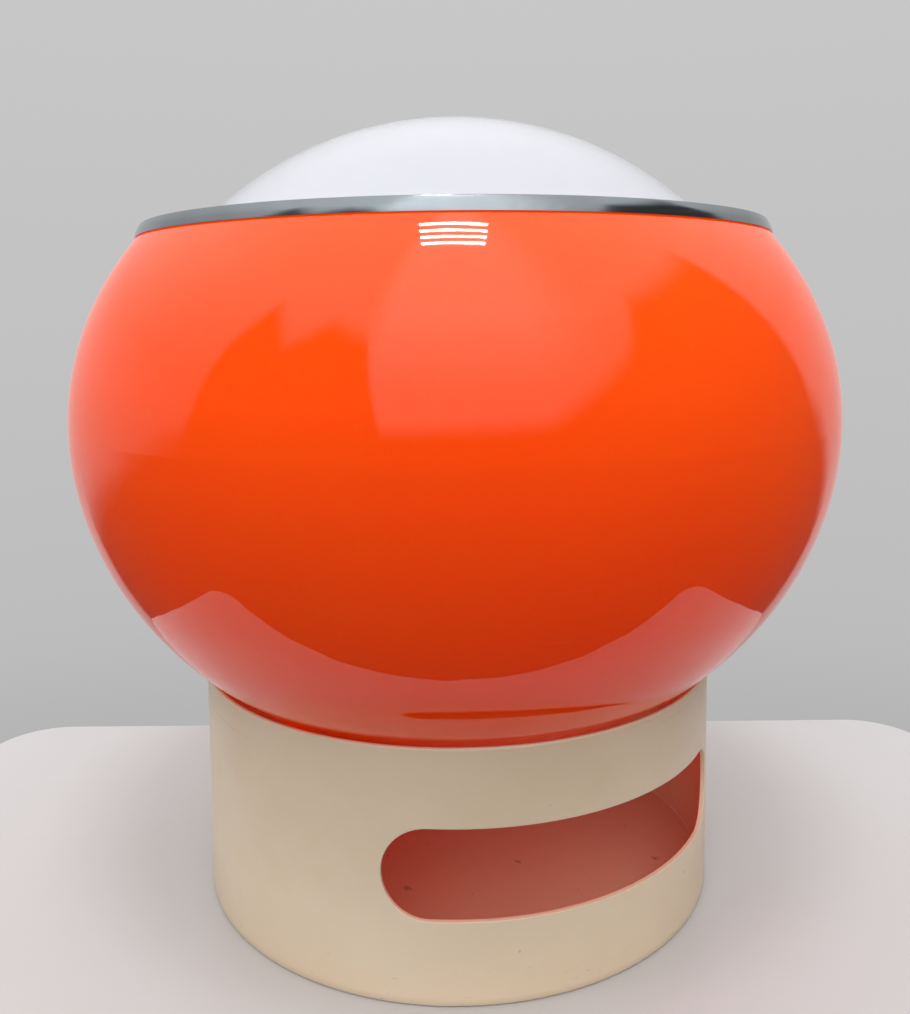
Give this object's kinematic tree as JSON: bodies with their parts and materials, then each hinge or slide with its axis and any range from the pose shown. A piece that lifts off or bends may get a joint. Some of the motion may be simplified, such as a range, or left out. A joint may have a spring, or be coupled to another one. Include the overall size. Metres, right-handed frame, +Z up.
{
  "type": "table lamp",
  "caption": "Round table lamp: translucent orange bowl shade with a bright metal rim and an opal dome lid, on a windowed ivory cylinder base.",
  "frame": {"origin": "on the surface the lamp stands on, on the axis of the base and bowl, under the feet", "axes": "+Z up along the lamp's axis, -Y the front; the base's window is centred 28 degrees from the front towards +X, and the cord inlet is at +Y"},
  "size_m": [0.4, 0.3998, 0.4061],
  "materials": {
    "ivory_plastic": "semi-gloss moulded plastic, slightly yellowed",
    "orange_acrylic": "high-gloss translucent acrylic",
    "chrome": "polished chrome plate",
    "opal_acrylic": "glossy opal white acrylic",
    "black_rubber": "matt black rubber",
    "zinc_steel": "zinc-plated steel",
    "red_fibre": "vulcanised fibre",
    "brass": "plain brass",
    "black_bakelite": "polished phenolic moulding",
    "steatite": null,
    "bulb_glass": "inside-frosted glass",
    "clear_glass": "clear glass",
    "nickel": "nickel-plated screw cap",
    "solder": "dull solder",
    "black_glass": null,
    "tungsten": "drawn wire",
    "nylon": "natural nylon",
    "brown_pvc": "brown wire insulation",
    "blue_pvc": "blue wire insulation"
  },
  "bodies": {
    "lamp": {"base_shell": "ivory_plastic", "base_feet": "black_rubber", "inlet_bush": "black_rubber", "shade_bowl": "orange_acrylic", "rim_ring": "chrome", "bridge": "zinc_steel", "bridge_screws": "zinc_steel", "lower_nut": "zinc_steel", "lower_washer": "zinc_steel", "seat_washer": "black_rubber", "fibre_washer": "red_fibre", "clamp_washer": "zinc_steel", "upper_nut": "zinc_steel", "threaded_tube": "zinc_steel", "holder_cap": "black_bakelite", "holder_core": "steatite", "holder_terminals": "brass", "holder_contact": "brass", "holder_sleeve": "brass", "holder_skirt": "black_bakelite", "terminal_block": "nylon", "lead_live": "brown_pvc", "lead_neutral": "blue_pvc"},
    "diffuser": {"top_diffuser": "opal_acrylic"},
    "bulb_carriage": {"bulb_contact": "solder"},
    "bulb": {"bulb_insulator": "black_glass", "bulb_cap": "nickel", "bulb_glass": "bulb_glass", "bulb_stem": "clear_glass", "bulb_filament": "tungsten"}
  },
  "joints": [
    {"name": "diffuser_lift", "type": "slide", "parent": "lamp", "child": "diffuser", "axis": [0, 0, 1], "range_m": [0, 0.15]},
    {"name": "bulb_advance", "type": "slide", "parent": "lamp", "child": "bulb_carriage", "axis": [0, 0, 1], "range_m": [0, 0.0163]},
    {"name": "bulb_turn", "type": "hinge", "parent": "bulb_carriage", "child": "bulb", "pos_m": [0, 0, 0.1276], "axis": [0, 0, 1], "range_deg": [0, 1620]}
  ],
  "couplings": [
    {"joint": "bulb_advance", "follows": "bulb_turn", "m_per_rad": 0.00057614}
  ]
}
